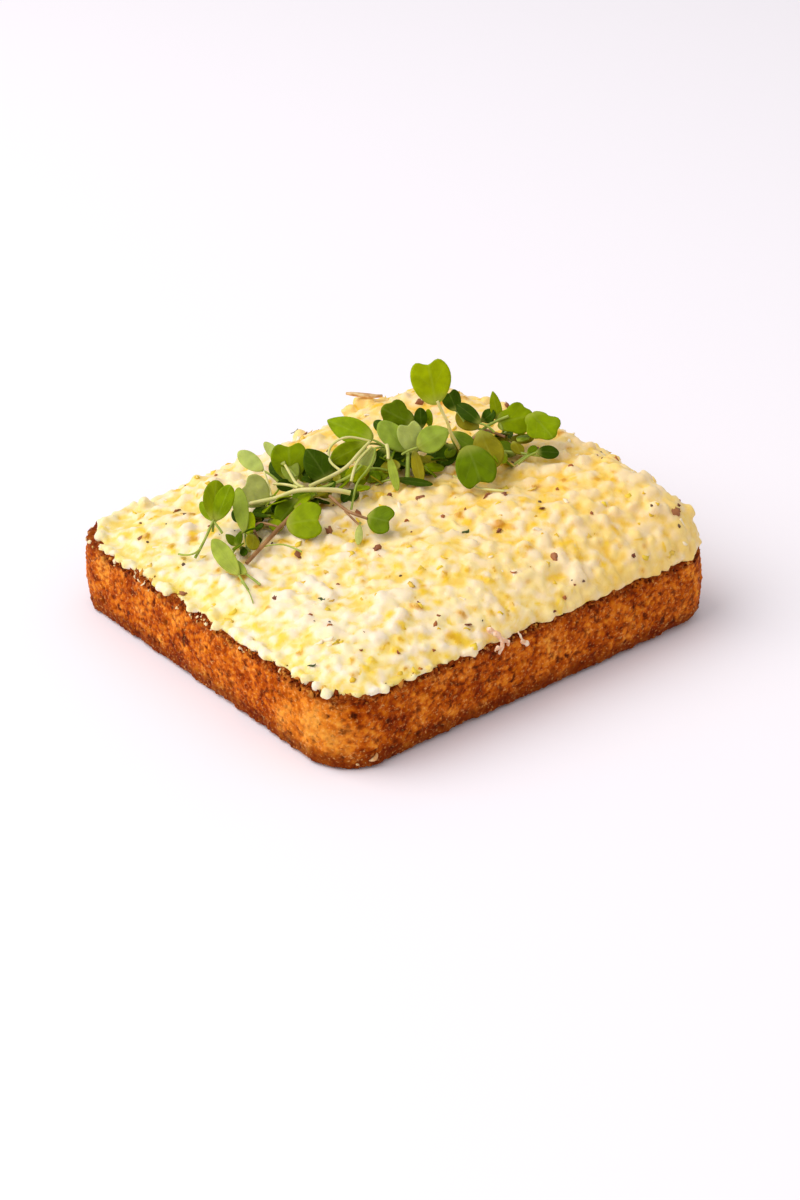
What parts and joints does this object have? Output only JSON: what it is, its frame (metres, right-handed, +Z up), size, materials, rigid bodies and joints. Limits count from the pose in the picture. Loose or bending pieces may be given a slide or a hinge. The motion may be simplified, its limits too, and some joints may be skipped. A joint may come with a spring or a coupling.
{
  "type": "open sandwich",
  "caption": "Open sandwich: a thick square slice of toasted tin bread spread to its border with egg salad and topped with a tangle of cress sprigs.",
  "frame": {"origin": "middle of the slice's flat underside", "axes": "+X along the slice's longer side, towards the end where the egg salad is heaped highest; +Z up"},
  "size_m": [0.12, 0.111, 0.0651],
  "materials": {
    "toasted_crust": "dry toasted crust, orange brown with darker edges and small pores",
    "egg_salad": "moist pale yellow spread with white and yellow lumps and dark specks",
    "cress": "fresh green leaves with a soft sheen, on pale and purple stems"
  },
  "bodies": {
    "root": {"toast_slice": "toasted_crust", "egg_salad": "egg_salad", "cress_sprigs": "cress"}
  },
  "joints": []
}
